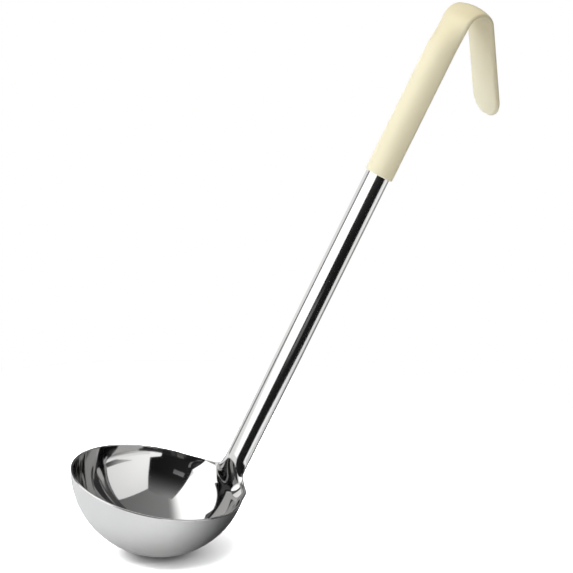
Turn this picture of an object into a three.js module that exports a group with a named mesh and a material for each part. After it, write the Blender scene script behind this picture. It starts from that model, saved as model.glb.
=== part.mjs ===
// Portion control ladle: a one-piece stamped steel ladle with a moulded grip over its hooked handle.
// Millimetres, +Z up. The bowl's rim is level, the handle leans towards +X and the part is
// mirrored about the plane Y = 0. The origin is the saddle inside the hook, where the ladle hangs.
import * as THREE from 'three';

const DEGREE = Math.PI / 180;

// Bowl
const RIM_RADIUS = 39.0;
const BOWL_DEPTH = 32.9;
const CENTRE_ABOVE_RIM = 5.4;
const SHEET = 1.2;

// Neck, where the bowl's wall rises into the handle. The channel's crown runs down into the bowl
// and fades out there, and the sheet is flared outwards on both sides of it
const NECK_REACH = 22.0;
const NECK_HEIGHT = 5.5;
const NECK_CORNER = 4.5;
const NECK_RUNOUT = 4.5;
const PRESS_DEPTH = 12.0;
const BLEND_DEPTH = 5.5;
const BLEND_SPREAD = 4.95;
const FLARE_PRESS = 1.8;
const FLARE_ARC = 15.0;

// Handle, a channel pressed from the same sheet, open at the back
const HANDLE_LEAN = 17.9 * DEGREE;
const HANDLE_SETBACK = 0.65;
const HANDLE_LENGTH = 227.3;
const HANDLE_WIDTH = 15.8;
const CHANNEL_DEPTH = 5.25;

// Hook, where the channel is pressed almost flat and bent back over the handle
const FLATTEN_LENGTH = 15.0;
const FLATTEN_OVER = 6.0;
const STRAP_CROWN = 1.0;
const HOOK_RADIUS = 7.85;
const TAIL_LEAN = 21.0 * DEGREE;
const TAIL_LENGTH = 45.6;

// Grip, moulded round the upper handle and the hook
const GRIP_STRAIGHT = 76.0;
const GRIP_WALL = 0.55;
const GRIP_CLEARANCE = 0.15;

// Mesh steps
const NECK_STEPS = 7;
const ROUND_STEPS = 50;
const BOWL_RINGS = 14;
const NECK_ROWS = 9;
const RUNOUT_ROWS = 2;
const PLAIN_ROWS = 4;
const FLATTEN_ROWS = 8;
const BEND_ROWS = 16;
const TAIL_ROWS = 3;
const TIP_STEPS = 12;
const CAP_POINTS = 4;
const BACK_POINTS = 5;

const STEEL_COLOUR = 0xc9cbcd;
const GRIP_COLOUR = 0xe9e4d2;

// Sizes that follow from the ones above
const innerRim = RIM_RADIUS - SHEET;
const innerHeight = BOWL_DEPTH - SHEET + CENTRE_ABOVE_RIM;
const innerWidth = innerRim / Math.sqrt(1 - (CENTRE_ABOVE_RIM / innerHeight) ** 2);
const wallSlope = CENTRE_ABOVE_RIM * (innerWidth / innerHeight) ** 2 / innerRim;
const columnCount = 2 * NECK_STEPS + 1;
const neckHalfAngle = NECK_REACH / innerRim;
const neckTop = NECK_HEIGHT + NECK_RUNOUT;
const handleRoot = RIM_RADIUS + HANDLE_SETBACK;
const bendTurn = Math.PI - HANDLE_LEAN - TAIL_LEAN;
const bendEnd = HANDLE_LENGTH + HOOK_RADIUS * bendTurn;
const tipStart = bendEnd + TAIL_LENGTH - HANDLE_WIDTH / 2;
const gripStart = HANDLE_LENGTH - GRIP_STRAIGHT;
const gripGap = GRIP_CLEARANCE + GRIP_WALL;

function mix(a, b, share) {
  return a + (b - a) * share;
}

function ease(start, end, value) {
  const share = Math.min(1, Math.max(0, (value - start) / (end - start)));
  return share * share * (3 - 2 * share);
}

// The arc across the strip at a distance along it: its bend, half of its arc length, and how far
// its crown stands in front of its edges
function channelArc(distance) {
  const flat = ease(HANDLE_LENGTH - FLATTEN_LENGTH, HANDLE_LENGTH + FLATTEN_OVER, distance);
  const half = HANDLE_WIDTH / 2;
  const crown = mix(CHANNEL_DEPTH, STRAP_CROWN, flat);
  const radius = (half * half + crown * crown) / (2 * crown);
  return { bend: 1 / radius, halfArc: 2 * radius * Math.atan(crown / half), crown };
}

// The line of the channel's edges in the mirror plane, and the lean of the strip there
function edgeLine(distance) {
  const along = [Math.sin(HANDLE_LEAN), Math.cos(HANDLE_LEAN)];
  const run = Math.min(distance, HANDLE_LENGTH);
  let x = handleRoot + along[0] * run;
  let z = along[1] * run;
  const turn = Math.min(Math.max(0, distance - HANDLE_LENGTH) / HOOK_RADIUS, bendTurn);
  const lean = HANDLE_LEAN + turn;
  x += HOOK_RADIUS * (Math.cos(HANDLE_LEAN) - Math.cos(lean));
  z += HOOK_RADIUS * (Math.sin(lean) - Math.sin(HANDLE_LEAN));
  const tail = Math.max(0, distance - bendEnd);
  return { x: x + Math.sin(lean) * tail, z: z + Math.cos(lean) * tail, lean };
}

// How far the sheet is pressed out of the bowl's round beside the neck, at a height above the rim
// and an arc length to one side
function neckPress(height, side) {
  const away = Math.abs(side);
  const flare = FLARE_PRESS * Math.min(ease(0, FLARE_ARC, away), 1 - ease(FLARE_ARC, NECK_REACH, away));
  return ease(-PRESS_DEPTH, 0, height) * flare;
}

// A point of the bowl's wall carried on upwards, at a height above the rim
function wallPoint(height, side) {
  const around = side / innerRim;
  const radius = innerRim + wallSlope * height + neckPress(height, side);
  return new THREE.Vector3(radius * Math.cos(around), radius * Math.sin(around), BOWL_DEPTH + height);
}

// A point of the channel's front, given the bend across it
function channelPoint(distance, side) {
  const line = edgeLine(distance);
  const arc = channelArc(distance);
  const angle = arc.bend * side;
  const back = (1 - Math.cos(angle)) / arc.bend - arc.crown;
  return new THREE.Vector3(
    line.x + Math.cos(line.lean) * back,
    Math.sin(angle) / arc.bend,
    BOWL_DEPTH + line.z - Math.sin(line.lean) * back,
  );
}

// A point of the bowl's form near the neck, drawn over to the channel's form: not at all below the
// neck and beside it, and wholly above it
function neckBlend(point, height, side) {
  const { halfArc } = channelArc(height);
  const inside = 1 - ease(halfArc, halfArc + BLEND_SPREAD, Math.abs(side));
  const share = ease(-BLEND_DEPTH, neckTop, height) * inside;
  if (share === 0) return point;
  return point.lerp(channelPoint(height, Math.min(halfArc, Math.max(-halfArc, side))), share);
}

// A point of the strip's front, at an arc length to one side of its crown line
function frontPoint(distance, side) {
  if (distance >= neckTop) return channelPoint(distance, side);
  return neckBlend(wallPoint(distance, side), distance, side);
}

// The strip's normal there, pointing to its back, and so to the outside of the bowl
function backNormal(distance, side) {
  const step = 0.01;
  const along = frontPoint(distance + step, side).sub(frontPoint(distance - step, side));
  const across = frontPoint(distance, side + step).sub(frontPoint(distance, side - step));
  return across.cross(along).normalize();
}

// A closed mesh that grows by points and four-sided faces
class Shell {
  constructor() {
    this.points = [];
    this.faces = [];
  }

  add(point) {
    this.points.push(point.x, point.y, point.z);
    return this.points.length / 3 - 1;
  }

  triangle(a, b, c) {
    if (a !== b && b !== c && c !== a) this.faces.push(a, b, c);
  }

  quad(a, b, c, d) {
    this.triangle(a, b, c);
    this.triangle(a, c, d);
  }

  // Faces between two rows of points, seen from the side where the first row lies below the second
  // and the points run to the right
  sheet(lower, upper, flip) {
    for (let i = 0; i + 1 < lower.length; i += 1) {
      const corners = [lower[i], lower[i + 1], upper[i + 1], upper[i]];
      if (flip) corners.reverse();
      this.quad(...corners);
    }
  }

  fan(centre, ring, flip) {
    ring.forEach((point, i) => {
      const next = ring[(i + 1) % ring.length];
      this.triangle(centre, ...(flip ? [next, point] : [point, next]));
    });
  }

  // A round end, made by turning one half of the last section over onto its mirrored half. Both
  // halves run from the middle of the front to the middle of the back
  roundEnd(half, mirrored, forward, flip) {
    const pointAt = (index) => new THREE.Vector3().fromArray(this.points, index * 3);
    let slice = half;
    for (let k = 1; k <= TIP_STEPS; k += 1) {
      const turn = Math.PI * k / TIP_STEPS;
      const next = k === TIP_STEPS ? mirrored : half.map((index, i) => {
        if (index === mirrored[i]) return index;
        const [start, end] = [pointAt(index), pointAt(mirrored[i])];
        const arm = start.clone().sub(end).multiplyScalar(0.5);
        const middle = start.clone().add(end).multiplyScalar(0.5);
        const reach = arm.length() * Math.sin(turn);
        return this.add(middle.addScaledVector(arm, Math.cos(turn)).addScaledVector(forward, reach));
      });
      this.sheet(slice, next, flip);
      slice = next;
    }
  }

  mesh(name, colour, roughness, metalness) {
    const geometry = new THREE.BufferGeometry();
    geometry.setAttribute('position', new THREE.Float32BufferAttribute(this.points, 3));
    geometry.setIndex(this.faces);
    geometry.computeVertexNormals();
    const material = new THREE.MeshStandardMaterial({ color: colour, roughness, metalness });
    const mesh = new THREE.Mesh(geometry, material);
    mesh.name = name;
    return mesh;
  }
}

// Distances along the strip for the rows above the neck
function stripRows() {
  const rows = [];
  const run = (start, end, count) => {
    for (let i = 1; i <= count; i += 1) rows.push(mix(start, end, i / count));
  };
  const flattenStart = HANDLE_LENGTH - FLATTEN_LENGTH;
  run(NECK_HEIGHT, neckTop, RUNOUT_ROWS);
  run(neckTop, flattenStart, PLAIN_ROWS);
  run(flattenStart, HANDLE_LENGTH, FLATTEN_ROWS);
  run(HANDLE_LENGTH, bendEnd, BEND_ROWS);
  run(bendEnd, tipStart, TAIL_ROWS);
  return rows;
}

// The way that the strip runs at its tip
function tipForward() {
  const { lean } = edgeLine(tipStart);
  return new THREE.Vector3(Math.sin(lean), 0, Math.cos(lean));
}

// The columns of one strip row, as pairs of distance and side
function rowAcross(distance, halfArc) {
  return Array.from({ length: columnCount }, (_, i) => [distance, halfArc * (i / NECK_STEPS - 1)]);
}

// The columns of a neck row: the outer ones follow the round fillets that start on the rim
function neckRow(share) {
  const turn = share * Math.PI / 2;
  const reach = Math.sin(turn) ** (2 / NECK_CORNER);
  const rise = 1 - Math.max(0, Math.cos(turn)) ** (2 / NECK_CORNER);
  const halfArc = mix(NECK_REACH, channelArc(NECK_HEIGHT).halfArc, reach);
  return rowAcross(0, halfArc).map(([, side]) => {
    const edge = Math.abs(side / halfArc) ** 3;
    return [NECK_HEIGHT * mix(share, rise, edge), side];
  });
}

// A point of the bowl's inside, pressed out of its round near the neck
function bowlPoint(turn, around) {
  const height = CENTRE_ABOVE_RIM - innerHeight * Math.sin(turn);
  const side = innerRim * Math.atan2(Math.sin(around), Math.cos(around));
  const radius = innerWidth * Math.cos(turn) + neckPress(height, side);
  const point = new THREE.Vector3(radius * Math.cos(around), radius * Math.sin(around), BOWL_DEPTH + height);
  return neckBlend(point, height, side);
}

function bowlNormal(turn, around) {
  const step = 0.001;
  const down = bowlPoint(turn + step, around).sub(bowlPoint(turn - step, around));
  const across = bowlPoint(turn, around + step).sub(bowlPoint(turn, around - step));
  return down.cross(across).normalize();
}

// Angles round the bowl: the neck's columns first, then the free rim
function anglesAround() {
  const neck = Array.from({ length: columnCount }, (_, i) => neckHalfAngle * (i / NECK_STEPS - 1));
  const free = Array.from({ length: ROUND_STEPS - 1 }, (_, i) => (
    mix(neckHalfAngle, 2 * Math.PI - neckHalfAngle, (i + 1) / ROUND_STEPS)));
  return [...neck, ...free];
}

// Bowl, neck, handle and hook, pressed from one sheet of even thickness
function steelLadle() {
  const shell = new Shell();
  const pair = (point, normal) => [shell.add(point), shell.add(point.clone().addScaledVector(normal, SHEET))];
  const rimTurn = Math.asin(CENTRE_ABOVE_RIM / innerHeight);
  const rings = [];
  for (let k = 0; k < BOWL_RINGS; k += 1) {
    const turn = mix(rimTurn, Math.PI / 2, k / BOWL_RINGS);
    rings.push(anglesAround().map((around) => pair(bowlPoint(turn, around), bowlNormal(turn, around))));
  }
  const closed = (ring, layer) => [...ring, ring[0]].map((point) => point[layer]);
  for (let k = 0; k + 1 < BOWL_RINGS; k += 1) {
    shell.sheet(closed(rings[k + 1], 0), closed(rings[k], 0), true);
    shell.sheet(closed(rings[k + 1], 1), closed(rings[k], 1), false);
  }
  const pole = pair(bowlPoint(Math.PI / 2, 0), new THREE.Vector3(0, 0, -1));
  const last = rings[BOWL_RINGS - 1];
  shell.fan(pole[0], last.map((point) => point[0]), false);
  shell.fan(pole[1], last.map((point) => point[1]), true);

  const rim = rings[0];
  const free = [...rim.slice(columnCount - 1), rim[0]];
  shell.sheet(free.map((point) => point[1]), free.map((point) => point[0]), false);

  const places = [];
  for (let i = 1; i <= NECK_ROWS; i += 1) places.push(neckRow(i / NECK_ROWS));
  stripRows().forEach((distance) => places.push(rowAcross(distance, channelArc(distance).halfArc)));
  const rows = [rim.slice(0, columnCount)];
  places.forEach((row) => {
    rows.push(row.map((place) => pair(frontPoint(...place), backNormal(...place))));
  });
  for (let i = 0; i + 1 < rows.length; i += 1) {
    const [below, above] = [rows[i], rows[i + 1]];
    shell.sheet(below.map((point) => point[0]), above.map((point) => point[0]), true);
    shell.sheet(below.map((point) => point[1]), above.map((point) => point[1]), false);
    const left = [below[0], above[0]];
    const right = [below[columnCount - 1], above[columnCount - 1]];
    shell.quad(left[0][0], left[0][1], left[1][1], left[1][0]);
    shell.quad(right[0][1], right[0][0], right[1][0], right[1][1]);
  }
  const tip = rows[rows.length - 1];
  const right = tip.slice(NECK_STEPS);
  const left = tip.slice(0, NECK_STEPS + 1).reverse();
  const halfOf = (points) => [
    ...points.map((point) => point[0]),
    ...points.map((point) => point[1]).reverse(),
  ];
  shell.roundEnd(halfOf(right), halfOf(left), tipForward(), true);
  return shell.mesh('steel_ladle', STEEL_COLOUR, 0.22, 1.0);
}

// One ring of points round the strip, a gap away from its sheet: the front, the rounded edges, and
// a back that follows the channel or lies flat across it
function ringAround(distance, gap, flatBack) {
  const line = edgeLine(distance);
  const arc = channelArc(distance);
  const radius = 1 / arc.bend;
  const reach = arc.halfArc * arc.bend;
  const onArc = (arcRadius, angle) => [arcRadius * Math.sin(angle), radius - arcRadius * Math.cos(angle)];
  const front = Array.from({ length: columnCount }, (_, i) => (
    onArc(radius + gap, reach * (i / NECK_STEPS - 1))));
  const edge = onArc(radius - SHEET / 2, reach);
  const edgeRadius = SHEET / 2 + gap;
  const capEnd = flatBack ? Math.PI : reach + Math.PI;
  const cap = Array.from({ length: CAP_POINTS }, (_, i) => {
    const angle = mix(reach, capEnd, (i + 1) / CAP_POINTS);
    return [edge[0] + edgeRadius * Math.sin(angle), edge[1] - edgeRadius * Math.cos(angle)];
  });
  const [backWidth, backDepth] = cap[CAP_POINTS - 1];
  const back = Array.from({ length: BACK_POINTS }, (_, i) => {
    const share = 1 - 2 * (i + 1) / (BACK_POINTS + 1);
    return flatBack ? [backWidth * share, backDepth] : onArc(radius - SHEET - gap, reach * share);
  });
  const mirroredCap = cap.map(([y, depth]) => [-y, depth]).reverse();
  return [...front, ...cap, ...back, ...mirroredCap].map(([y, depth]) => new THREE.Vector3(
    line.x + Math.cos(line.lean) * (depth - arc.crown),
    y,
    BOWL_DEPTH + line.z - Math.sin(line.lean) * (depth - arc.crown),
  ));
}

// The grip: a sleeve with a pocket for the handle, open at its lower end and round at its tip
function gripSleeve() {
  const shell = new Shell();
  const distances = [gripStart, ...stripRows().filter((distance) => distance > gripStart)];
  const wrap = (ring) => [...ring, ring[0]];
  const backMiddle = columnCount + CAP_POINTS + (BACK_POINTS - 1) / 2;
  const skin = (gap, flatBack, facesOut) => {
    const rings = distances.map((distance) => (
      ringAround(distance, gap, flatBack).map((point) => shell.add(point))));
    for (let i = 0; i + 1 < rings.length; i += 1) {
      shell.sheet(wrap(rings[i]), wrap(rings[i + 1]), facesOut);
    }
    const tip = rings[rings.length - 1];
    const half = tip.slice(NECK_STEPS, backMiddle + 1);
    const mirrored = [...tip.slice(0, NECK_STEPS + 1).reverse(), ...tip.slice(backMiddle).reverse()];
    shell.roundEnd(half, mirrored, tipForward(), facesOut);
    return rings[0];
  };
  const mouthOutside = skin(gripGap, true, true);
  const mouthInside = skin(GRIP_CLEARANCE, false, false);
  shell.sheet(wrap(mouthOutside), wrap(mouthInside), false);
  return shell.mesh('grip_sleeve', GRIP_COLOUR, 0.5, 0.0);
}

// The saddle: the highest place inside the hook's bend, on the grip's inner face
const bendCentre = {
  x: handleRoot + Math.sin(HANDLE_LEAN) * HANDLE_LENGTH + HOOK_RADIUS * Math.cos(HANDLE_LEAN),
  z: BOWL_DEPTH + Math.cos(HANDLE_LEAN) * HANDLE_LENGTH - HOOK_RADIUS * Math.sin(HANDLE_LEAN),
};
const strap = channelArc(bendEnd);
const saddleRadius = HOOK_RADIUS - SHEET / 2 * (1 + Math.cos(strap.halfArc * strap.bend)) - gripGap;

const ladle = new THREE.Group();
ladle.add(steelLadle(), gripSleeve());
ladle.position.set(-bendCentre.x, 0, -bendCentre.z - saddleRadius);

export default ladle;
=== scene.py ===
"""A portion ladle: one pressed steel sheet with a moulded grip sleeve, on a pale floor."""
import math

import bpy
import numpy as np
from mathutils import Euler, Matrix, Vector


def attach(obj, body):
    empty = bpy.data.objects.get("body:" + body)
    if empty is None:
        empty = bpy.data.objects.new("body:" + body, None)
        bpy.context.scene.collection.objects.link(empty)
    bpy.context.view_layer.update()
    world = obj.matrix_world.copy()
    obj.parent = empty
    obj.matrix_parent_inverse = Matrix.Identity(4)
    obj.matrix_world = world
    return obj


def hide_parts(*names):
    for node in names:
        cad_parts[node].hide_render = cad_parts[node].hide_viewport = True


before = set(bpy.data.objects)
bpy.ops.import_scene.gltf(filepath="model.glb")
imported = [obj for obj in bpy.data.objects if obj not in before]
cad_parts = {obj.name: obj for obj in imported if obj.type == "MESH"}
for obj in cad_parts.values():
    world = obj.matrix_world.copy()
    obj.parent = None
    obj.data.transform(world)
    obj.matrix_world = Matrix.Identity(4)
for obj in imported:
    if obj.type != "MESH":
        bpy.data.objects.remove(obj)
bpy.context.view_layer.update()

bl_info = {
    "name": "Portion Ladle",
    "version": (1, 0, 0),
    "blender": (4, 5, 0),
    "location": "View3D > Sidebar > Ladle",
    "description": "Builds a pressed steel ladle, its moulded grip and a small studio",
    "category": "Object",
}

MM = 0.001


def length(name, description, millimetres):
    """A size in millimetres as a property in metres."""
    return bpy.props.FloatProperty(
        name=name, description=description, default=millimetres * MM, unit="LENGTH", precision=5)


def angle(name, description, degrees):
    """An angle in degrees as a property in radians."""
    return bpy.props.FloatProperty(
        name=name, description=description, default=math.radians(degrees), subtype="ANGLE")


def share(name, description, value):
    """A plain number from 0 to 1."""
    return bpy.props.FloatProperty(
        name=name, description=description, default=value, min=0.0, max=1.0, subtype="FACTOR")


def colour(name, description, value):
    """A linear colour."""
    return bpy.props.FloatVectorProperty(
        name=name, description=description, default=value, size=3, min=0.0, max=1.0,
        subtype="COLOR")


class LadleSteelSettings(bpy.types.PropertyGroup):
    """Sizes and finish of the pressed steel sheet."""
    rim_radius: length("Rim radius", "Outer radius of the bowl's rim", 39.0)
    bowl_depth: length("Bowl depth", "Outer depth of the bowl below its rim", 32.9)
    centre_above_rim: length(
        "Centre above rim", "Height of the bowl's round centre over the rim", 5.4)
    sheet: length("Sheet", "Thickness of the steel", 1.2)
    edge_round: length("Edge round", "How far the sheet's edge is rounded in", 0.45)
    neck_reach: length("Neck reach", "Arc from the neck's middle to where it leaves the rim", 22.0)
    neck_height: length("Neck height", "Height of the round fillets beside the neck", 5.5)
    neck_runout: length("Neck run-out", "Height in which the neck runs out into the channel", 4.5)
    press_depth: length("Press depth", "How far down the bowl the neck's pressing reaches", 6.5)
    blend_depth: length("Blend depth", "How far down the bowl the channel's form reaches", 5.5)
    blend_reach: length(
        "Blend reach", "Arc beside the neck's middle where the channel's form ends", 15.0)
    flare_press: length("Flare press", "How far the sheet is flared out beside the neck", 2.1)
    flare_reach: length("Flare reach", "Arc from the neck's middle to the flare's end", 26.0)
    flare_arc: length("Flare arc", "Arc from the neck's middle to the flare's crest", 15.0)
    neck_corner: bpy.props.FloatProperty(
        name="Neck corner", description="Squareness of the fillets beside the neck", default=3.0)
    handle_lean: angle("Handle lean", "Lean of the handle from the bowl's axis", 17.9)
    handle_setback: length("Handle setback", "Gap from the rim to the channel's edges", 0.65)
    handle_length: length(
        "Handle length", "Straight handle, from the rim's level to the bend", 227.3)
    handle_width: length("Handle width", "Width of the channel", 15.8)
    channel_depth: length(
        "Channel depth", "How far the channel's crown stands in front of its edges", 5.25)
    flatten_length: length(
        "Flatten length", "Where the channel starts to flatten below the bend", 15.0)
    flatten_over: length("Flatten over", "How far into the bend the channel is flattened", 6.0)
    strap_crown: length("Strap crown", "Crown that is left on the flattened strap", 1.0)
    hook_radius: length("Hook radius", "Radius of the bend at the channel's edges", 7.85)
    tail_lean: angle("Tail lean", "Lean of the hook's tail from the bowl's axis", 21.0)
    tail_length: length("Tail length", "Length of the hook's tail", 45.6)
    polish: share("Polish roughness", "Roughness of the polished faces", 0.06)
    handle_dull: share("Handle dullness", "Roughness that the handle adds to the polish", 0.05)
    satin: share("Satin roughness", "Roughness of the bowl's satin outside", 0.36)
    tone: colour("Steel tone", "Colour of the bare steel", (0.72, 0.717, 0.71))


class LadleGripSettings(bpy.types.PropertyGroup):
    """Sizes and finish of the moulded grip."""
    straight: length("Straight grip", "Length of the grip below the bend", 76.0)
    wall: length("Wall", "Thickness of the grip's wall", 0.55)
    clearance: length("Clearance", "Gap between the grip's pocket and the steel", 0.15)
    lip: length("Lip", "Rounding of the grip's lower edge", 0.55)
    roughness: share("Roughness", "Roughness of the vinyl", 0.42)
    tone: colour("Ivory", "Colour of the vinyl", (0.80, 0.70, 0.445))


class LadleStageSettings(bpy.types.PropertyGroup):
    """Floor, cards, lamps and camera."""
    paper: colour("Paper", "Colour of the floor", (0.86, 0.86, 0.86))
    floor_lift: bpy.props.FloatProperty(
        name="Floor lift", description="How much paler the camera and the steel see the floor",
        default=6.6)
    mirrored_lift: share("Mirrored lift", "Share of the floor's lift that the steel mirrors", 0.188)
    mirrored_white: share(
        "Mirrored white", "Share of plain white in the floor that the steel mirrors", 0.32)
    room_light: share("Room light", "Light of the room on everything that isn't a mirror", 0.30)
    # Painted shade: the paper's colour is darkened near the bowl's foot, leaving this share at the
    # contact
    painted_contact_shade: share(
        "Contact shade", "Share of the light left where the bowl touches the floor", 0.35)
    floor_dim: share(
        "Floor dim", "Share of the floor's light that the steel throws back on it", 0.2)
    camera_height: angle("Camera height", "Height of the camera over the floor's horizon", 15.0)
    lens: bpy.props.FloatProperty(
        name="Lens", description="Focal length in millimetres", default=176.9, min=1.0)


def ease(start, end, value):
    """A smooth step from 0 at start to 1 at end."""
    part = np.clip((value - start) / (end - start), 0.0, 1.0)
    return part * part * (3.0 - 2.0 * part)


def mix(a, b, part):
    """The value a share of the way from a to b."""
    return a + (b - a) * part


def unit(vectors):
    """The vectors at a length of 1."""
    return vectors / np.linalg.norm(vectors, axis=-1, keepdims=True)


# A small step for slopes, in metres or radians
NUDGE = 1e-5
# Shares of the channel's half arc where the side starts to be held within it, and over which it is
SOFT_START = 0.7
SOFT_SPAN = 0.6


class SheetShape:
    """The front of the pressed sheet, as points in the row frame."""

    def __init__(self, size):
        self.size = size
        self.inner_rim = size.rim_radius - size.sheet
        self.inner_height = size.bowl_depth - size.sheet + size.centre_above_rim
        flatness = size.centre_above_rim / self.inner_height
        self.inner_width = self.inner_rim / math.sqrt(1.0 - flatness ** 2)
        steepness = (self.inner_width / self.inner_height) ** 2
        self.wall_slope = size.centre_above_rim * steepness / self.inner_rim
        self.neck_top = size.neck_height + size.neck_runout
        self.root = size.rim_radius + size.handle_setback
        self.half_arc = self.channel_arc(0.0)[1]
        self.bend_turn = math.pi - size.handle_lean - size.tail_lean
        self.bend_end = size.handle_length + size.hook_radius * self.bend_turn
        self.tip_start = self.bend_end + size.tail_length - size.handle_width / 2
        grip = bpy.context.scene.ladle_grip
        reach = 2.0 * math.atan(size.strap_crown / (size.handle_width / 2))
        strap = size.sheet / 2 * (1.0 + math.cos(reach))
        saddle = size.hook_radius - strap - grip.wall - grip.clearance
        along = (math.sin(size.handle_lean), math.cos(size.handle_lean))
        bend_x = self.root + along[0] * size.handle_length + along[1] * size.hook_radius
        bend_z = along[1] * size.handle_length - along[0] * size.hook_radius
        self.rim_centre = np.array((-bend_x, 0.0, -bend_z - saddle))

    def channel_arc(self, distance):
        """Bend, half arc length and crown of the arc across the strip."""
        size = self.size
        start = size.handle_length - size.flatten_length
        flat = ease(start, size.handle_length + size.flatten_over, distance)
        half = size.handle_width / 2
        crown = mix(size.channel_depth, size.strap_crown, flat)
        radius = (half * half + crown * crown) / (2.0 * crown)
        return 1.0 / radius, 2.0 * radius * np.arctan(crown / half), crown

    def edge_line(self, distance):
        """The line of the channel's edges in the mirror plane, and its lean."""
        size = self.size
        run = np.minimum(distance, size.handle_length)
        turn = np.clip((distance - size.handle_length) / size.hook_radius, 0.0, self.bend_turn)
        lean = size.handle_lean + turn
        tail = np.maximum(distance - self.bend_end, 0.0)
        x = self.root + math.sin(size.handle_lean) * run + np.sin(lean) * tail
        z = math.cos(size.handle_lean) * run + np.cos(lean) * tail
        x = x + size.hook_radius * (math.cos(size.handle_lean) - np.cos(lean))
        z = z + size.hook_radius * (np.sin(lean) - math.sin(size.handle_lean))
        return x, z, lean

    def neck_press(self, height, side):
        """How far the sheet is pressed out of the bowl's round near the neck."""
        size = self.size
        away = np.abs(side)
        rise = ease(0.0, size.flare_arc, away)
        fall = 1.0 - ease(size.flare_arc, size.flare_reach, away)
        return size.flare_press * np.minimum(rise, fall) * ease(-size.press_depth, 0.0, height)

    def neck_blend(self, height, side):
        """Share of the channel's form in the sheet near the neck."""
        inside = 1.0 - ease(self.half_arc, self.size.blend_reach, np.abs(side))
        return (ease(-self.size.blend_depth, self.neck_top, height) * inside)[..., None]

    def wall_point(self, height, side):
        around = side / self.inner_rim
        radius = self.inner_rim + self.wall_slope * height + self.neck_press(height, side)
        return np.stack((radius * np.cos(around), radius * np.sin(around), height), -1)

    def channel_point(self, distance, side):
        x, z, lean = self.edge_line(distance)
        bend, _, crown = self.channel_arc(distance)
        turn = bend * side
        back = (1.0 - np.cos(turn)) / bend - crown
        return np.stack((x + np.cos(lean) * back, np.sin(turn) / bend, z - np.sin(lean) * back), -1)

    def channel_side(self, height, side):
        """The side held within the channel's arc, softly at the neck's foot."""
        away = np.abs(side) / self.half_arc
        past = np.clip((away - SOFT_START) / SOFT_SPAN, 0.0, 1.0)
        soft = np.minimum(away, SOFT_START + SOFT_SPAN) - SOFT_SPAN * (past ** 3 - past ** 4 / 2.0)
        held = mix(soft, np.minimum(away, 1.0), ease(0.0, self.neck_top, height))
        return np.sign(side) * self.half_arc * held

    def strip_point(self, distance, side):
        """The wall at the rim, the channel above the neck, and a smooth change between them."""
        channel = self.channel_point(distance, self.channel_side(distance, side))
        wall = self.wall_point(distance, side)
        return mix(wall, channel, self.neck_blend(distance, side)) + self.rim_centre

    def bowl_point(self, turn, around):
        height = self.size.centre_above_rim - self.inner_height * np.sin(turn)
        side = self.inner_rim * np.arctan2(np.sin(around), np.cos(around))
        radius = self.inner_width * np.cos(turn) + self.neck_press(height, side)
        points = np.stack((radius * np.cos(around), radius * np.sin(around), height), -1)
        channel = self.channel_point(height, self.channel_side(height, side))
        return mix(points, channel, self.neck_blend(height, side)) + self.rim_centre

    def strip_row(self, distance, side):
        """Points of the strip and its normals to the back."""
        along = self.strip_point(distance + NUDGE, side) - self.strip_point(distance - NUDGE, side)
        across = self.strip_point(distance, side + NUDGE) - self.strip_point(distance, side - NUDGE)
        return self.strip_point(distance, side), unit(np.cross(across, along))

    def bowl_row(self, turn, around):
        """Points of the bowl and its normals to the outside."""
        down = self.bowl_point(turn + NUDGE, around) - self.bowl_point(turn - NUDGE, around)
        across = self.bowl_point(turn, around + NUDGE) - self.bowl_point(turn, around - NUDGE)
        return self.bowl_point(turn, around), unit(np.cross(down, across))


class SheetMesh:
    """A sheet of even thickness over a net of points, with a rounded edge all round."""

    def __init__(self):
        self.points = []
        self.normals = []
        self.faces = []
        self.border = set()

    def row(self, points, normals):
        start = len(self.points)
        self.points.extend(points)
        self.normals.extend(normals)
        return list(range(start, start + len(points)))

    def join(self, lower, upper):
        for i in range(len(lower) - 1):
            self.faces.append((lower[i], lower[i + 1], upper[i + 1], upper[i]))

    def fan(self, centre, ring):
        for i, point in enumerate(ring):
            self.faces.append((centre, ring[(i + 1) % len(ring)], point))

    def thicken(self, name, loop, sheet, edge_round, edge_steps, bare, tail):
        """Adds the back, with the second material, and the rounded edge.

        The edge has the third, a rougher steel that is darkened as a painted dark reflection, from
        the loop's point number bare to its last few, counted by tail.
        """
        front = np.array(self.points)
        normal = np.array(self.normals)
        count = len(front)
        points = [front, front + normal * sheet]
        facing = [-normal, normal]
        faces = [tuple(reversed(face)) for face in self.faces]
        # Front faces at the handle's sides take the third material, a painted dark reflection along
        # its edges
        index = [2 if k in self.border else 0 for k in range(len(faces))]
        faces += [tuple(i + count for i in face) for face in self.faces]
        index += [1] * len(self.faces)

        edge = front[loop]
        tangent = np.roll(edge, -1, axis=0) - np.roll(edge, 1, axis=0)
        outward = unit(np.cross(normal[loop], tangent))
        middle = edge + normal[loop] * sheet / 2
        rails = [list(loop)]
        next_point = 2 * count
        for step in range(1, edge_steps):
            turn = math.pi * step / edge_steps
            across = -math.cos(turn) * sheet / 2
            points.append(middle + normal[loop] * across + outward * edge_round * math.sin(turn))
            slant = normal[loop] * -math.cos(turn) * edge_round
            facing.append(unit(slant + outward * math.sin(turn) * sheet / 2))
            rails.append(list(range(next_point, next_point + len(loop))))
            next_point += len(loop)
        rails.append([i + count for i in loop])
        for inner, outer in zip(rails, rails[1:]):
            for i in range(len(loop)):
                j = (i + 1) % len(loop)
                faces.append((inner[i], outer[i], outer[j], inner[j]))
                index.append(2 if bare <= i < len(loop) - tail else 0)
        mesh = bpy.data.meshes.new(name)
        mesh.from_pydata(np.concatenate(points).tolist(), [], faces)
        mesh.polygons.foreach_set("material_index", index)
        mesh.polygons.foreach_set("use_smooth", [True] * len(faces))
        mesh.update()
        mesh.normals_split_custom_set_from_vertices(np.concatenate(facing).tolist())
        return mesh


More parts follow.
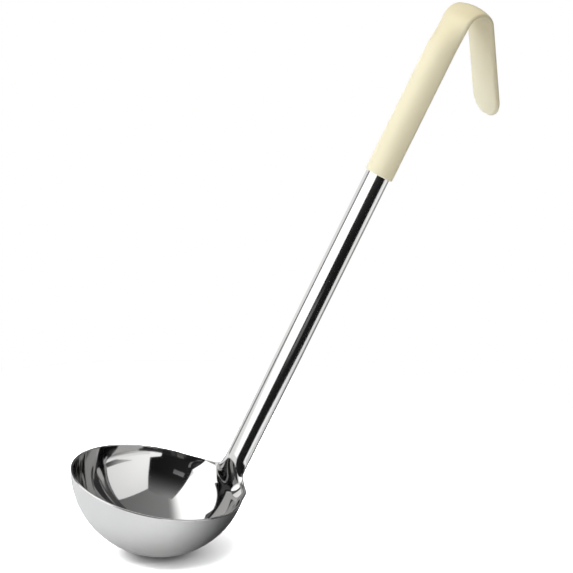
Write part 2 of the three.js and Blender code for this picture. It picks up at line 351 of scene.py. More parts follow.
# Steps of the sheet's net: across half the neck, round the free rim, down the bowl, up the neck
# and its run-out, along the plain handle, the flattening, the bend, the tail and the round tip,
# and round the edge. The neck's rows gather at its foot by the power NECK_GATHER
NECK_STEPS = 24
ROUND_STEPS = 180
BOWL_RINGS = 60
NECK_ROWS = 40
NECK_GATHER = 2.5
RUNOUT_ROWS = 6
PLAIN_ROWS = 40
FLATTEN_ROWS = 16
BEND_ROWS = 24
TAIL_ROWS = 10
TIP_ROWS = 8
# The steel's tip ends this far inside the grip's round tip, in metres
TIP_INSET = 0.0015
EDGE_STEPS = 6


def steps(start, end, count):
    """Values after start up to end."""
    return [mix(start, end, (i + 1) / count) for i in range(count)]


def sheet_mesh(size):
    """Bowl, neck, handle and hook as one sheet."""
    shape = SheetShape(size)
    net = SheetMesh()
    columns = 2 * NECK_STEPS + 1
    inset = size.edge_round
    across = np.linspace(-1.0, 1.0, columns)
    neck_half = size.neck_reach / shape.inner_rim
    free = np.linspace(neck_half, 2.0 * math.pi - neck_half, ROUND_STEPS + 1)[1:-1]
    around = np.concatenate((across * neck_half, free))
    rim_turn = math.asin((size.centre_above_rim + inset) / shape.inner_height)
    rings = []
    for k in range(BOWL_RINGS):
        turn = mix(rim_turn, math.pi / 2, k / BOWL_RINGS)
        rings.append(net.row(*shape.bowl_row(np.full_like(around, turn), around)))
    for upper, lower in zip(rings, rings[1:]):
        net.join(lower + lower[:1], upper + upper[:1])
    lowest = shape.bowl_point(np.array([math.pi / 2]), np.zeros(1))
    pole = net.row(lowest, [np.array((0.0, 0.0, -1.0))])[0]
    net.fan(pole, rings[-1])

    strip = [rings[0][:columns]]
    neck_arc = shape.channel_arc(size.neck_height)[1] - inset
    for part in steps(0.0, 1.0, NECK_ROWS):
        rise = part ** NECK_GATHER
        reach = (1.0 - (1.0 - rise) ** size.neck_corner) ** (1.0 / size.neck_corner)
        height = np.full(columns, mix(-inset, size.neck_height, rise))
        half_arc = mix(size.neck_reach, neck_arc, reach)
        strip.append(net.row(*shape.strip_row(height, across * half_arc)))
    flatten_start = size.handle_length - size.flatten_length
    distances = steps(size.neck_height, shape.neck_top, RUNOUT_ROWS)
    distances += steps(shape.neck_top, flatten_start, PLAIN_ROWS)
    distances += steps(flatten_start, size.handle_length, FLATTEN_ROWS)
    distances += steps(size.handle_length, shape.bend_end, BEND_ROWS)
    distances += steps(shape.bend_end, shape.tip_start, TAIL_ROWS)
    narrow = [1.0] * len(distances)
    tip_reach = size.handle_width / 2 - TIP_INSET
    for part in steps(0.0, 1.0, TIP_ROWS)[:-1]:
        turn = part * math.pi / 2
        distances.append(shape.tip_start + tip_reach * math.sin(turn))
        narrow.append(math.cos(turn))
    for distance, width in zip(distances, narrow):
        half_arc = (shape.channel_arc(distance)[1] - inset) * width
        strip.append(net.row(*shape.strip_row(np.full(columns, distance), across * half_arc)))
    for k, (lower, upper) in enumerate(zip(strip, strip[1:])):
        start = len(net.faces)
        net.join(lower, upper)
        # Faces at the strip's sides past the neck go in the border, for the painted dark reflection
        # along the handle's edges
        if k >= NECK_ROWS:
            net.border |= {start, len(net.faces) - 1}

    rows = strip[1:]
    loop = rings[0][columns - 1:] + rings[0][:1]
    loop += [row[0] for row in rows] + rows[-1][1:-1] + [row[-1] for row in reversed(rows)]
    # Edge faces past the free rim and the neck take the darker steel, a painted dark reflection
    # along the handle
    bare = len(free) + 2 + NECK_ROWS
    return net.thicken("ladle_sheet", loop, size.sheet, inset, EDGE_STEPS, bare, NECK_ROWS)


class Formula:
    """A number in a node tree. Arithmetic on it adds Math nodes to the tree."""

    def __init__(self, tree, socket):
        self.tree = tree
        self.socket = socket

    def apply(self, operation, *others, clamp=False):
        node = self.tree.nodes.new("ShaderNodeMath")
        node.operation = operation
        node.use_clamp = clamp
        for slot, value in zip(node.inputs, (self, *others)):
            if isinstance(value, Formula):
                self.tree.links.new(value.socket, slot)
            else:
                slot.default_value = value
        return Formula(self.tree, node.outputs[0])

    def __add__(self, other):
        return self.apply("ADD", other)

    def __sub__(self, other):
        return self.apply("SUBTRACT", other)

    def __mul__(self, other):
        return self.apply("MULTIPLY", other)

    def __truediv__(self, other):
        return self.apply("DIVIDE", other)

    def sin(self):
        return self.apply("SINE")

    def cos(self):
        return self.apply("COSINE")

    def clamped(self):
        return self.apply("ADD", 0.0, clamp=True)

    def smooth(self):
        """The smooth step of a value that is held between 0 and 1."""
        held = self.clamped()
        return held * held * (held * -2.0 + 3.0)


def ranged(tree, socket, start, end=(0.0, 1.0), kind="LINEAR"):
    """A socket's value mapped from one range to another and held there."""
    node = tree.nodes.new("ShaderNodeMapRange")
    node.interpolation_type = kind
    for name, value in zip(("From Min", "From Max", "To Min", "To Max"), (*start, *end)):
        node.inputs[name].default_value = value
    tree.links.new(socket, node.inputs["Value"])
    return Formula(tree, node.outputs["Result"])


def colour_mix(tree, factor, low, high):
    """A node for a colour between two others, by the factor's socket."""
    node = tree.nodes.new("ShaderNodeMix")
    node.data_type = "RGBA"
    node.inputs["A"].default_value = (*low, 1.0)
    node.inputs["B"].default_value = (*high, 1.0)
    tree.links.new(factor, node.inputs["Factor"])
    return node


def scaled(values, part):
    """Each value times the part, which may be over 1."""
    return tuple(value * part for value in values)


# The grip's net: rows from tip to tip and columns across. The round tip starts at a share of each
# half's rows, which crowd at the mouth by a power. Shares of each half's columns lie on the front
# and round the edge, and a share of the wall is left at the mouth
GRIP_ROWS = 440
GRIP_COLUMNS = 121
TIP_SHARE = 0.88
ROW_CROWDING = 1.6
FRONT_SHARE = 0.5
CAP_SHARE = 0.22
LIP_START = 0.4
# Points nearer than this, in metres, are joined
MERGE_GAP = 1e-6


def grip_tree(vinyl):
    """Node tree for the grip.

    Its net of rows runs from the pocket's tip, out at the mouth, to the outer tip.
    """
    tree = bpy.data.node_groups.new("grip_sleeve_form", "GeometryNodeTree")
    tree.is_modifier = True
    tree.interface.new_socket(name="Geometry", in_out="OUTPUT", socket_type="NodeSocketGeometry")
    names = (
        "Foot X", "Foot Z", "Lean", "Handle Length", "Hook Radius", "Bend Turn", "Grip Start",
        "Tip Start", "Width", "Channel Depth", "Strap Crown", "Flatten Start", "Flatten Span",
        "Sheet", "Clearance", "Wall", "Lip",
    )
    for name in names:
        tree.interface.new_socket(name=name, in_out="INPUT", socket_type="NodeSocketFloat")
    inputs = tree.nodes.new("NodeGroupInput")
    size = {name: Formula(tree, inputs.outputs[name]) for name in names}

    grid = tree.nodes.new("GeometryNodeMeshGrid")
    for name, value in (
        ("Size X", 2.0), ("Size Y", 2.0), ("Vertices X", GRIP_ROWS), ("Vertices Y", GRIP_COLUMNS),
    ):
        grid.inputs[name].default_value = value
    place = tree.nodes.new("GeometryNodeInputPosition")
    parts = tree.nodes.new("ShaderNodeSeparateXYZ")
    tree.links.new(place.outputs[0], parts.inputs[0])
    row = Formula(tree, parts.outputs["X"])
    column = Formula(tree, parts.outputs["Y"])

    # Along the strip: the inner rows are the pocket, the outer rows the skin
    mouth = 1.0 / (GRIP_ROWS - 1)
    outer = row.apply("GREATER_THAN", 0.0)
    along = (row.apply("ABSOLUTE") - mouth) / (1.0 - mouth)
    run_share = (along / TIP_SHARE).clamped().apply("POWER", ROW_CROWDING)
    tip_turn = ((along - TIP_SHARE) / (1.0 - TIP_SHARE)).clamped() * (math.pi / 2)
    distance = size["Grip Start"] + (size["Tip Start"] - size["Grip Start"]) * run_share
    run = distance.apply("MINIMUM", size["Handle Length"])
    past = distance - size["Handle Length"]
    bend_turn = (past / size["Hook Radius"]).apply("MAXIMUM", 0.0)
    bend_turn = bend_turn.apply("MINIMUM", size["Bend Turn"])
    lean = size["Lean"] + bend_turn
    tail = (past - size["Hook Radius"] * size["Bend Turn"]).apply("MAXIMUM", 0.0)
    line_x = size["Foot X"] + size["Lean"].sin() * run + lean.sin() * tail
    line_x = line_x + size["Hook Radius"] * (size["Lean"].cos() - lean.cos())
    line_z = size["Foot Z"] + size["Lean"].cos() * run + lean.cos() * tail
    line_z = line_z + size["Hook Radius"] * (lean.sin() - size["Lean"].sin())

    # Across the strip: the arc of the front, the rounded edge, then the back
    flat = ((distance - size["Flatten Start"]) / size["Flatten Span"]).smooth()
    crown = size["Channel Depth"] + (size["Strap Crown"] - size["Channel Depth"]) * flat
    half = size["Width"] * 0.5
    radius = (half * half + crown * crown) / (crown * 2.0)
    reach = (crown / half).apply("ARCTANGENT") * 2.0
    lip = ((distance - size["Grip Start"]) / size["Lip"]).clamped() * -1.0 + 1.0
    proud = (lip * lip * (LIP_START * LIP_START - 1.0) + 1.0).apply("SQRT")
    gap = size["Clearance"] + size["Wall"] * proud * outer
    turned = column.apply("ABSOLUTE")
    front = (turned / FRONT_SHARE).clamped()
    cap = ((turned - FRONT_SHARE) / CAP_SHARE).clamped()
    back = ((turned - FRONT_SHARE - CAP_SHARE) / (1.0 - FRONT_SHARE - CAP_SHARE)).clamped()
    spot = reach * (front - back * (outer * -1.0 + 1.0))
    facing = spot + cap * (reach * outer * -1.0 + math.pi)
    core = radius - size["Sheet"] * 0.5
    skin = size["Sheet"] * 0.5 + gap
    out = (core * spot.sin() + skin * facing.sin()) * (back * outer * -1.0 + 1.0)
    deep = radius - crown - core * spot.cos() - skin * facing.cos()

    # The round tip turns each half of the last row over to the middle
    ahead = out * tip_turn.sin()
    spread = out * tip_turn.cos() * column.apply("SIGN")
    joined = tree.nodes.new("ShaderNodeCombineXYZ")
    for axis, value in (
        ("X", line_x + lean.cos() * deep + lean.sin() * ahead),
        ("Y", spread),
        ("Z", line_z - lean.sin() * deep + lean.cos() * ahead),
    ):
        tree.links.new(value.socket, joined.inputs[axis])

    moved = tree.nodes.new("GeometryNodeSetPosition")
    tree.links.new(grid.outputs["Mesh"], moved.inputs["Geometry"])
    tree.links.new(joined.outputs[0], moved.inputs["Position"])
    closed = tree.nodes.new("GeometryNodeMergeByDistance")
    closed.inputs["Distance"].default_value = MERGE_GAP
    smooth = tree.nodes.new("GeometryNodeSetShadeSmooth")
    real = tree.nodes.new("GeometryNodeRealizeInstances")
    finish = tree.nodes.new("GeometryNodeSetMaterial")
    finish.inputs["Material"].default_value = vinyl
    output = tree.nodes.new("NodeGroupOutput")
    last = moved
    for node in (closed, smooth, real, finish, output):
        tree.links.new(last.outputs[0], node.inputs[0])
        last = node
    return tree


def grip_inputs(size, grip):
    """Values for the grip tree's inputs, by name."""
    shape = SheetShape(size)
    return {
        "Foot X": shape.rim_centre[0] + shape.root,
        "Foot Z": shape.rim_centre[2],
        "Lean": size.handle_lean,
        "Handle Length": size.handle_length,
        "Hook Radius": size.hook_radius,
        "Bend Turn": shape.bend_turn,
        "Grip Start": size.handle_length - grip.straight,
        "Tip Start": shape.tip_start,
        "Width": size.handle_width,
        "Channel Depth": size.channel_depth,
        "Strap Crown": size.strap_crown,
        "Flatten Start": size.handle_length - size.flatten_length,
        "Flatten Span": size.flatten_length + size.flatten_over,
        "Sheet": size.sheet,
        "Clearance": grip.clearance,
        "Wall": grip.wall,
        "Lip": grip.lip,
    }


# Finishes: share of the tone in their darker clouds, scales of the clouds and the grain, the
# grain's stretch, and the strength and the depth in metres of its bump
FINISHES = {
    "polished_steel": (0.94, 60.0, 900.0, (1.0, 1.0, 1.0), 0.02, 0.00002),
    "satin_steel": (0.92, 45.0, 1600.0, (1.0, 1.0, 6.0), 0.05, 0.00003),
    "sheared_edge_and_painted_dark_line": (0.70, 200.0, 2400.0, (1.0, 1.0, 1.0), 0.1, 0.00003),
    "ivory_vinyl": (0.95, 38.0, 1400.0, (1.0, 1.0, 1.0), 0.12, 0.00004),
}
CLOUD_DETAIL = 3.0
GRAIN_DETAIL = 2.0
# Spread of the roughness: shares of it on the steel, and what the vinyl loses and gains
POLISH_SPREAD = (0.7, 1.3)
SATIN_SPREAD = (0.9, 1.1)
VINYL_SPREAD = (-0.05, 0.07)
SHEARED_ROUGH = (0.25, 0.4)
# Share of the steel's tone on the handle's shear-cut edges: they are rougher steel, and the darker
# tone is a painted dark reflection along them
SHEARED_AND_PAINTED_DARK_TONE = 0.5
# The handle's dullness sets in over this many neck heights
DULL_RISE = 2.0


def mottle_group():
    """Shader group for uneven finishes: a slow cloud and a fine grain."""
    found = bpy.data.node_groups.get("surface_mottle")
    if found:
        return found
    group = bpy.data.node_groups.new("surface_mottle", "ShaderNodeTree")
    sockets = (
        ("Cloud Scale", "INPUT", "NodeSocketFloat"),
        ("Grain Scale", "INPUT", "NodeSocketFloat"),
        ("Grain Stretch", "INPUT", "NodeSocketVector"),
        ("Cloud", "OUTPUT", "NodeSocketFloat"),
        ("Grain", "OUTPUT", "NodeSocketFloat"),
    )
    for name, way, kind in sockets:
        group.interface.new_socket(name=name, in_out=way, socket_type=kind)
    inputs = group.nodes.new("NodeGroupInput")
    outputs = group.nodes.new("NodeGroupOutput")
    coordinate = group.nodes.new("ShaderNodeTexCoord")
    stretch = group.nodes.new("ShaderNodeMapping")
    cloud = group.nodes.new("ShaderNodeTexNoise")
    grain = group.nodes.new("ShaderNodeTexNoise")
    cloud.inputs["Detail"].default_value = CLOUD_DETAIL
    grain.inputs["Detail"].default_value = GRAIN_DETAIL
    link = group.links.new
    link(coordinate.outputs["Object"], cloud.inputs["Vector"])
    link(coordinate.outputs["Object"], stretch.inputs["Vector"])
    link(inputs.outputs["Grain Stretch"], stretch.inputs["Scale"])
    link(stretch.outputs["Vector"], grain.inputs["Vector"])
    link(inputs.outputs["Cloud Scale"], cloud.inputs["Scale"])
    link(inputs.outputs["Grain Scale"], grain.inputs["Scale"])
    link(cloud.outputs["Fac"], outputs.inputs["Cloud"])
    link(grain.outputs["Fac"], outputs.inputs["Grain"])
    return group


def mottled_material(name, tone, rough, metallic):
    """A material whose colour and roughness vary and whose grain is a faint bump."""
    shade, cloud_scale, grain_scale, stretch, strength, depth = FINISHES[name]
    material = bpy.data.materials.new(name)
    material.use_nodes = True
    tree = material.node_tree
    link = tree.links.new
    shader = tree.nodes["Principled BSDF"]
    shader.inputs["Metallic"].default_value = metallic
    mottle = tree.nodes.new("ShaderNodeGroup")
    mottle.node_tree = mottle_group()
    mottle.inputs["Cloud Scale"].default_value = cloud_scale
    mottle.inputs["Grain Scale"].default_value = grain_scale
    mottle.inputs["Grain Stretch"].default_value = stretch
    tint = colour_mix(tree, mottle.outputs["Cloud"], scaled(tone, shade), tone)
    link(tint.outputs["Result"], shader.inputs["Base Color"])
    roughness = ranged(tree, mottle.outputs["Grain"], (0.0, 1.0), rough)
    link(roughness.socket, shader.inputs["Roughness"])
    relief = tree.nodes.new("ShaderNodeBump")
    relief.inputs["Strength"].default_value = strength
    relief.inputs["Distance"].default_value = depth
    link(mottle.outputs["Grain"], relief.inputs["Height"])
    link(relief.outputs["Normal"], shader.inputs["Normal"])
    return material


def handle_brushing(material, size):
    """Makes the polish duller up the handle than in the bowl."""
    rim = SheetShape(size).rim_centre[2]
    tree = material.node_tree
    place = tree.nodes.new("ShaderNodeTexCoord")
    parts = tree.nodes.new("ShaderNodeSeparateXYZ")
    tree.links.new(place.outputs["Object"], parts.inputs[0])
    rise = (rim, rim + size.neck_height * DULL_RISE)
    extra = ranged(tree, parts.outputs["Z"], rise, (0.0, size.handle_dull))
    roughness = tree.nodes["Principled BSDF"].inputs["Roughness"]
    total = Formula(tree, roughness.links[0].from_socket) + extra
    tree.links.new(total.socket, roughness)


class LADLE_OT_steel(bpy.types.Operator):
    """Presses the bowl, neck, handle and hook from one steel sheet"""
    bl_idname = "ladle.steel"
    bl_label = "Steel Ladle"

    def execute(self, context):
        size = context.scene.ladle_steel
        mesh = sheet_mesh(size)
        polished = mottled_material(
            "polished_steel", size.tone, scaled(POLISH_SPREAD, size.polish), 1.0)
        satin = mottled_material(
            "satin_steel", size.tone, scaled(SATIN_SPREAD, size.satin), 1.0)
        # Rougher, darker steel for the handle's edges; the darker tone is a painted dark reflection
        sheared_and_painted_dark = mottled_material(
            "sheared_edge_and_painted_dark_line", scaled(size.tone, SHEARED_AND_PAINTED_DARK_TONE), SHEARED_ROUGH, 1.0)
        handle_brushing(polished, size)
        for material in (polished, satin, sheared_and_painted_dark):
            mesh.materials.append(material)
        piece = bpy.data.objects.new("pressed_steel_ladle", mesh)
        context.scene.collection.objects.link(piece)
        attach(piece, "root")
        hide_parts("steel_ladle")
        return {"FINISHED"}


class LADLE_OT_grip(bpy.types.Operator):
    """Moulds the ivory grip over the upper handle and the hook"""
    bl_idname = "ladle.grip"
    bl_label = "Grip Sleeve"

    def execute(self, context):
        size = context.scene.ladle_steel
        grip = context.scene.ladle_grip
        rough = [grip.roughness + change for change in VINYL_SPREAD]
        vinyl = mottled_material("ivory_vinyl", grip.tone, rough, 0.0)
        tree = grip_tree(vinyl)
        piece = bpy.data.objects.new("moulded_grip", bpy.data.meshes.new("grip_start"))
        context.scene.collection.objects.link(piece)
        form = piece.modifiers.new("Form", "NODES")
        form.node_group = tree
        values = grip_inputs(size, grip)
        for item in tree.interface.items_tree:
            if item.in_out == "INPUT":
                form[item.identifier] = float(values[item.name])
        evaluated = piece.evaluated_get(context.evaluated_depsgraph_get())
        mesh = bpy.data.meshes.new_from_object(evaluated)
        if not mesh.polygons:
            raise RuntimeError("the grip's node tree made no faces")
        piece.modifiers.remove(form)
        mesh.name = "moulded_grip"
        piece.data = mesh
        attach(piece, "root")
        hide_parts("grip_sleeve")
        return {"FINISHED"}


# Camera, relative to the rim's centre: its place in metres and its turn in degrees
CAMERA_PLACE = (-0.68050, -0.92596, 0.49772)
CAMERA_TURN = (70.577, -11.489, -34.186)
# The floor's half width, and the distances from the bowl's foot over which it runs out to white
# and over which the painted contact shade ends, in metres
FLOOR_HALF = 3.0
FLOOR_FADE = (0.09, 0.30)
CONTACT = (0.002, 0.018)
# The painted shade beside the bowl, a dark glass seen only in mirrors that darkens the floor the
# steel shows: its height over the floor, azimuth in degrees, half spread in radians, reach in
# metres, the light that it leaves, and where its sides and its far end start to clear
SHADE_LIFT = 0.0004
SHADE_SIDE = 80.0
SHADE_HALF = 2.0
SHADE_REACH = (0.002, 0.40)
SHADE_LIGHT = 0.08
SHADE_CLEAR_SIDES = 0.2
SHADE_CLEAR_END = 0.35
CARD_STEPS = 24
# Share of a card's glow that is left after a second mirror
SECOND_GLOW = 0.4

# Lamps that no mirror shows: azimuth and elevation in degrees, distance, width and height in
# metres, glow and colour. The bounce lamps stand below the floor, for the light that white paper
# throws up
LAMPS = {
    "top_lamp": (-115.0, 66.0, 1.20, 1.20, 1.20, 2.20, (0.94, 0.965, 1.0)),
    "left_lamp": (-125.0, 36.0, 1.20, 1.00, 0.70, 1.2, (1.0, 1.0, 1.0)),
    "left_bounce": (-112.0, -30.0, 1.20, 0.70, 0.70, 8.5, (0.54, 0.67, 1.0)),
    "front_bounce": (-64.0, -26.0, 1.20, 0.70, 0.70, 3.0, (0.56, 0.68, 1.0)),
}

# Flat cards that the steel mirrors. Each has the azimuth and elevation, in degrees, of the way it
# stands from the rim's centre and its distance, its reach from left to right at the foot and at
# the top, its heights from foot to top on the left and on the right, its glow from left to right at
# the foot and at the top, and the share of its height that keeps the glow of the foot
CARDS = {
    "left_box": (
        (-122.0, 33.0, 0.90), (-0.65, 0.65), (-0.45, 0.65), (-0.45, 0.66), (-0.45, 0.66),
        (1.7, 1.7), (0.30, 0.30), 0.66),
    "left_gap": (
        (-158.0, 0.0, 0.80), (-0.08, 0.08), (-0.08, 0.08), (-0.10, 0.40), (-0.10, 0.40),
        (0.12, 0.12), (0.12, 0.12), 0.0),
    "dark_flag": (
        (-53.0, 0.0, 0.30), (-0.180, 0.195), (-0.180, 0.195), (-0.06, 0.56), (-0.06, 0.56),
        (0.02, 0.01), (0.30, 0.18), 0.36),
    "flag_window": (
        (-53.0, 0.0, 0.29), (-0.122, -0.026), (-0.122, -0.026), (0.112, 0.150), (0.105, 0.143),
        (0.20, 0.16), (0.24, 0.20), 0.0),
    "fill_card": (
        (17.0, 0.0, 0.90), (-0.678, 0.42), (-0.678, 0.84), (-0.06, 1.56), (-0.06, 1.56),
        (1.25, 1.00), (1.00, 0.92), 0.0),
    "fill_gap": (
        (17.0, 0.0, 0.85), (-0.18, 0.47), (-0.18, 0.47), (0.226, 0.232), (0.105, 0.27),
        (0.65, 0.02), (0.65, 0.12), 0.0),
    "right_wall": (
        (100.0, 0.0, 0.92), (-1.40, 1.07), (-1.00, 1.07), (-0.06, 1.60), (-0.06, 1.60),
        (0.03, 0.05), (0.12, 0.12), 0.4),
    "right_strip": (
        (84.0, 0.0, 0.88), (-0.06, 0.06), (-0.06, 0.06), (-0.06, 1.30), (-0.06, 1.30),
        (0.30, 0.20), (0.20, 0.12), 0.0),
    "far_strip": (
        (116.0, 0.0, 0.88), (-0.08, 0.08), (-0.08, 0.08), (-0.06, 1.30), (-0.06, 1.30),
        (0.25, 0.25), (0.12, 0.12), 0.0),
    "back_wall": (
        (175.0, 0.0, 0.92), (-0.50, 0.42), (-0.50, 0.42), (0.24, 1.60), (0.24, 1.60),
        (0.10, 0.10), (0.12, 0.12), 0.0),
    "rim_card": (
        (142.0, 0.0, 0.80), (-0.45, 0.45), (-0.45, 0.45), (0.54, 1.40), (0.54, 1.40),
        (1.3, 1.3), (1.3, 1.3), 0.0),
    "flag_notch": (
        (-53.0, 0.0, 0.295), (0.090, 0.200), (0.096, 0.200), (-0.06, 0.034), (-0.06, 0.066),
        (1.25, 1.25), (1.25, 1.25), 0.0),
    "ceiling_card": (
        (-120.0, 90.0, 1.62), (-3.0, 3.0), (-3.0, 3.0), (-3.0, 3.0), (-3.0, 3.0),
        (0.36, 0.36), (0.12, 0.12), 0.0),
}


def toward(azimuth, elevation):
    """Direction for an azimuth, 0 on the -Y side and 90 on the +X side, and an elevation."""
    level = np.cos(elevation)
    return np.stack((np.sin(azimuth) * level, -np.cos(azimuth) * level, np.sin(elevation)), -1)


def bare_material(name):
    """A material with only its output, and its node tree."""
    material = bpy.data.materials.new(name)
    material.use_nodes = True
    tree = material.node_tree
    tree.nodes.remove(tree.nodes["Principled BSDF"])
    return material, tree


def show(tree, shader):
    """Links a shader's node to the material's output."""
    tree.links.new(shader.outputs[0], tree.nodes["Material Output"].inputs["Surface"])


def point_glow(tree):
    """The value that each point of a card holds."""
    glow = tree.nodes.new("ShaderNodeAttribute")
    glow.attribute_name = "glow"
    return Formula(tree, glow.outputs["Fac"])


def seen_directly(tree):
    """1 for rays from the camera, off mirrors and through glass, before any matt surface."""
    path = tree.nodes.new("ShaderNodeLightPath")
    seen = Formula(tree, path.outputs["Is Camera Ray"])
    for name in ("Is Glossy Ray", "Is Transmission Ray"):
        seen = seen.apply("MAXIMUM", Formula(tree, path.outputs[name]))
    return seen.apply("SUBTRACT", Formula(tree, path.outputs["Diffuse Depth"]), clamp=True)


def card_material():
    """Glow of the cards, read from each card's own point values."""
    material, tree = bare_material("studio_card")
    path = tree.nodes.new("ShaderNodeLightPath")
    again = ranged(tree, path.outputs["Glossy Depth"], (1.0, 2.0), (1.0, SECOND_GLOW))
    level = point_glow(tree) * (again * seen_directly(tree))
    light = tree.nodes.new("ShaderNodeEmission")
    tree.links.new(level.socket, light.inputs["Strength"])
    show(tree, light)
    return material


def painted_shade_material():
    """A dark glass as clear as each point's own value, for a painted shade on the floor that
    mirrors show.
    """
    material, tree = bare_material("painted_floor_shade")
    clear = tree.nodes.new("ShaderNodeBsdfTransparent")
    tree.links.new(point_glow(tree).socket, clear.inputs["Color"])
    show(tree, clear)
    return material


def studio_card(name, card, centre, material):
    """A flat card, seen only in mirrored light."""
    (azimuth, elevation, distance), foot, top, left, right, low, high, hold = card
    out = toward(np.radians(azimuth), np.radians(elevation))
    along = toward(np.radians(azimuth + 90.0), 0.0)
    up = np.cross(along, -out)
    part = np.linspace(0.0, 1.0, CARD_STEPS + 1)
    a, e = np.meshgrid(part, part)
    reach = mix(mix(*foot, a), mix(*top, a), e)
    height = mix(mix(*left, e), mix(*right, e), a)
    points = centre + out * distance + reach[..., None] * along + height[..., None] * up
    glow = mix(mix(*low, ease(0.0, 1.0, a)), mix(*high, ease(0.0, 1.0, a)), ease(hold, 1.0, e))
    glow_card(name, points, glow, material)


def painted_shadow_card(normal, foot, material):
    """A dark glass on the floor beside the bowl, seen only in mirrored light: a painted shadow in
    the steel's view of the floor.
    """
    part = np.linspace(0.0, 1.0, CARD_STEPS + 1)
    a, e = np.meshgrid(part, part)
    along = Vector(toward(np.radians(SHADE_SIDE), 0.0))
    along = (along - normal * along.dot(normal)).normalized()
    across = normal.cross(along)
    turn = mix(-SHADE_HALF, SHADE_HALF, a)[..., None]
    way = np.cos(turn) * np.array(along) + np.sin(turn) * np.array(across)
    points = np.array(foot + normal * SHADE_LIFT) + mix(*SHADE_REACH, e)[..., None] * way
    sides = ease(SHADE_CLEAR_SIDES, 1.0, np.abs(2.0 * a - 1.0))
    clear = np.maximum(sides, ease(SHADE_CLEAR_END, 1.0, e))
    glow_card("painted_shadow_card", points, mix(SHADE_LIGHT, 1.0, clear), material)


def glow_card(name, points, glow, material):
    """A card over a net of points that hold its glow."""
    row = CARD_STEPS + 1
    faces = [
        (k, k + 1, k + row + 1, k + row)
        for k in range(row * CARD_STEPS) if k % row < CARD_STEPS
    ]
    mesh = bpy.data.meshes.new(name)
    mesh.from_pydata(points.reshape(-1, 3).tolist(), [], faces)
    mesh.attributes.new("glow", "FLOAT", "POINT").data.foreach_set("value", glow.ravel())
    mesh.materials.append(material)
    card = bpy.data.objects.new(name, mesh)
    card.visible_camera = False
    card.visible_diffuse = False
    card.visible_shadow = False
    bpy.context.scene.collection.objects.link(card)


def floor_place(stage, shape):
    """The floor's normal and the point where the bowl stands on it."""
    height = stage.camera_height
    normal = view_turn() @ Vector((0.0, math.cos(height), math.sin(height)))
    spread = shape.inner_width * math.hypot(normal.x, normal.y)
    drop = math.hypot(spread, shape.inner_height * normal.z) + shape.size.sheet
    centre = Vector(shape.rim_centre) + Vector((0.0, 0.0, shape.size.centre_above_rim))
    return normal, centre - normal * drop


def paper_material(stage, foot):
    """Pale paper that keeps the shadow near the bowl and runs out to white."""
    material, tree = bare_material("pale_paper")
    link = tree.links.new
    path = tree.nodes.new("ShaderNodeLightPath")
    camera = Formula(tree, path.outputs["Is Camera Ray"])
    seen = seen_directly(tree)
    place = tree.nodes.new("ShaderNodeTexCoord")
    away = tree.nodes.new("ShaderNodeVectorMath")
    away.operation = "DISTANCE"
    away.inputs[1].default_value = foot
    link(place.outputs["Object"], away.inputs[0])

    # The paper: lifted for the camera, less for mirrors, and darkened near the bowl's foot as a
    # painted contact shade
    plain = colour_mix(
        tree, path.outputs["Is Glossy Ray"], stage.paper, scaled(stage.paper, stage.floor_dim))
    lift = camera * (1.0 - stage.mirrored_lift) + seen * stage.mirrored_lift
    tint = colour_mix(tree, lift.socket, stage.paper, scaled(stage.paper, stage.floor_lift))
    link(plain.outputs["Result"], tint.inputs["A"])
    # Painted shade: the paper's colour darkens towards the bowl's foot by distance
    touch = ranged(tree, away.outputs["Value"], CONTACT, (stage.painted_contact_shade, 1.0), "SMOOTHSTEP")
    shaded = tree.nodes.new("ShaderNodeVectorMath")
    shaded.operation = "SCALE"
    link(tint.outputs["Result"], shaded.inputs[0])
    link(touch.socket, shaded.inputs["Scale"])
    paper = tree.nodes.new("ShaderNodeBsdfDiffuse")
    link(shaded.outputs["Vector"], paper.inputs["Color"])

    # The white that it runs out to, and a share of it in mirrors
    fade = ranged(tree, away.outputs["Value"], FLOOR_FADE, kind="SMOOTHSTEP")
    wash = (seen - camera) * stage.mirrored_white
    white = tree.nodes.new("ShaderNodeEmission")
    whole = tree.nodes.new("ShaderNodeMixShader")
    link((fade * seen).apply("MAXIMUM", wash).socket, whole.inputs["Fac"])
    link(paper.outputs[0], whole.inputs[1])
    link(white.outputs[0], whole.inputs[2])
    show(tree, whole)
    return material


def paper_floor(stage, normal, foot):
    """A pale floor under the bowl."""
    side = normal.orthogonal().normalized() * FLOOR_HALF
    front = normal.cross(side)
    mesh = bpy.data.meshes.new("floor")
    corners = [foot + side * a + front * b for a, b in ((-1, -1), (1, -1), (1, 1), (-1, 1))]
    mesh.from_pydata(corners, [], [(0, 1, 2, 3)])
    mesh.materials.append(paper_material(stage, foot))
    floor = bpy.data.objects.new("floor", mesh)
    floor.visible_shadow = False
    bpy.context.scene.collection.objects.link(floor)


def pale_world(stage):
    """White to the camera and the steel, and a softer light on everything else."""
    world = bpy.data.worlds.new("pale_room")
    world.use_nodes = True
    tree = world.node_tree
    room = tree.nodes["Background"]
    room.inputs["Color"].default_value = (1.0, 1.0, 1.0, 1.0)
    level = ranged(tree, seen_directly(tree).socket, (0.0, 1.0), (stage.room_light, 1.0))
    tree.links.new(level.socket, room.inputs["Strength"])
    bpy.context.scene.world = world


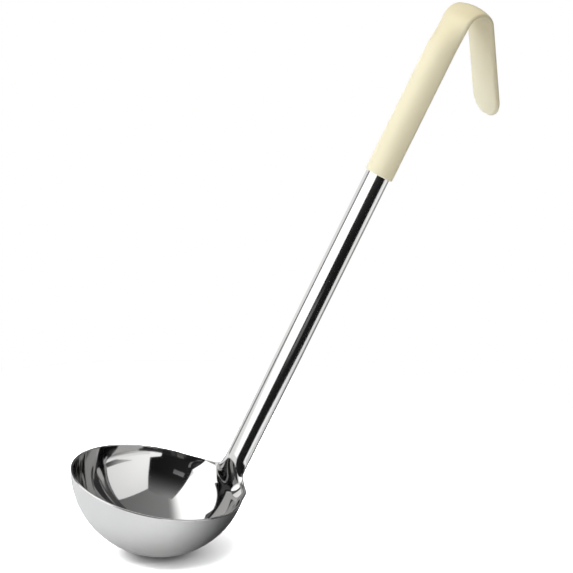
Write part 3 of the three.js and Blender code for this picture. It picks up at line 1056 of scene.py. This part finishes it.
def soft_lamp(name, centre):
    """A rectangular lamp that faces the bowl."""
    azimuth, elevation, distance, width, height, glow, tint = LAMPS[name]
    data = bpy.data.lights.new(name, "AREA")
    data.shape = "RECTANGLE"
    data.size = width
    data.size_y = height
    data.energy = glow * math.pi * width * height
    data.color = tint
    data.cycles.use_multiple_importance_sampling = False
    lamp = bpy.data.objects.new(name, data)
    way = Vector(toward(np.radians(azimuth), np.radians(elevation)))
    place = Vector(centre) + way * distance
    lamp.matrix_world = Matrix.Translation(place) @ way.to_track_quat("Z", "Y").to_matrix().to_4x4()
    lamp.visible_glossy = False
    bpy.context.scene.collection.objects.link(lamp)


def view_turn():
    """Columns are the view's right, up and back."""
    return Euler([math.radians(value) for value in CAMERA_TURN]).to_matrix()


class LADLE_OT_stage(bpy.types.Operator):
    """Sets the camera, the floor, the cards and the light"""
    bl_idname = "ladle.stage"
    bl_label = "Studio"

    def execute(self, context):
        scene = context.scene
        stage = scene.ladle_stage
        shape = SheetShape(scene.ladle_steel)
        data = bpy.data.cameras.new("view")
        data.lens = stage.lens
        camera = bpy.data.objects.new("view", data)
        place = Vector(shape.rim_centre) + Vector(CAMERA_PLACE)
        camera.matrix_world = Matrix.Translation(place) @ view_turn().to_4x4()
        scene.collection.objects.link(camera)
        scene.camera = camera
        scene.view_settings.view_transform = "Standard"
        normal, foot = floor_place(stage, shape)
        paper_floor(stage, normal, foot)
        glow = card_material()
        for name, card in CARDS.items():
            studio_card(name, card, shape.rim_centre, glow)
        painted_shadow_card(normal, foot, painted_shade_material())
        pale_world(stage)
        for name in LAMPS:
            soft_lamp(name, shape.rim_centre)
        return {"FINISHED"}


class LADLE_PT_sidebar(bpy.types.Panel):
    """Sizes, colours and the steps that build the ladle"""
    bl_label = "Portion Ladle"
    bl_idname = "LADLE_PT_sidebar"
    bl_space_type = "VIEW_3D"
    bl_region_type = "UI"
    bl_category = "Ladle"

    def draw(self, context):
        for settings, operator in (
            (context.scene.ladle_steel, LADLE_OT_steel),
            (context.scene.ladle_grip, LADLE_OT_grip),
            (context.scene.ladle_stage, LADLE_OT_stage),
        ):
            box = self.layout.box()
            box.operator(operator.bl_idname)
            for name in settings.__annotations__:
                box.prop(settings, name)


CLASSES = (
    LadleSteelSettings,
    LadleGripSettings,
    LadleStageSettings,
    LADLE_OT_steel,
    LADLE_OT_grip,
    LADLE_OT_stage,
    LADLE_PT_sidebar,
)


def register():
    for item in CLASSES:
        bpy.utils.register_class(item)
    bpy.types.Scene.ladle_steel = bpy.props.PointerProperty(type=LadleSteelSettings)
    bpy.types.Scene.ladle_grip = bpy.props.PointerProperty(type=LadleGripSettings)
    bpy.types.Scene.ladle_stage = bpy.props.PointerProperty(type=LadleStageSettings)


def unregister():
    del bpy.types.Scene.ladle_stage
    del bpy.types.Scene.ladle_grip
    del bpy.types.Scene.ladle_steel
    for item in reversed(CLASSES):
        bpy.utils.unregister_class(item)


def main():
    register()
    bpy.ops.ladle.steel()
    bpy.ops.ladle.grip()
    bpy.ops.ladle.stage()


if __name__ == "__main__":
    main()
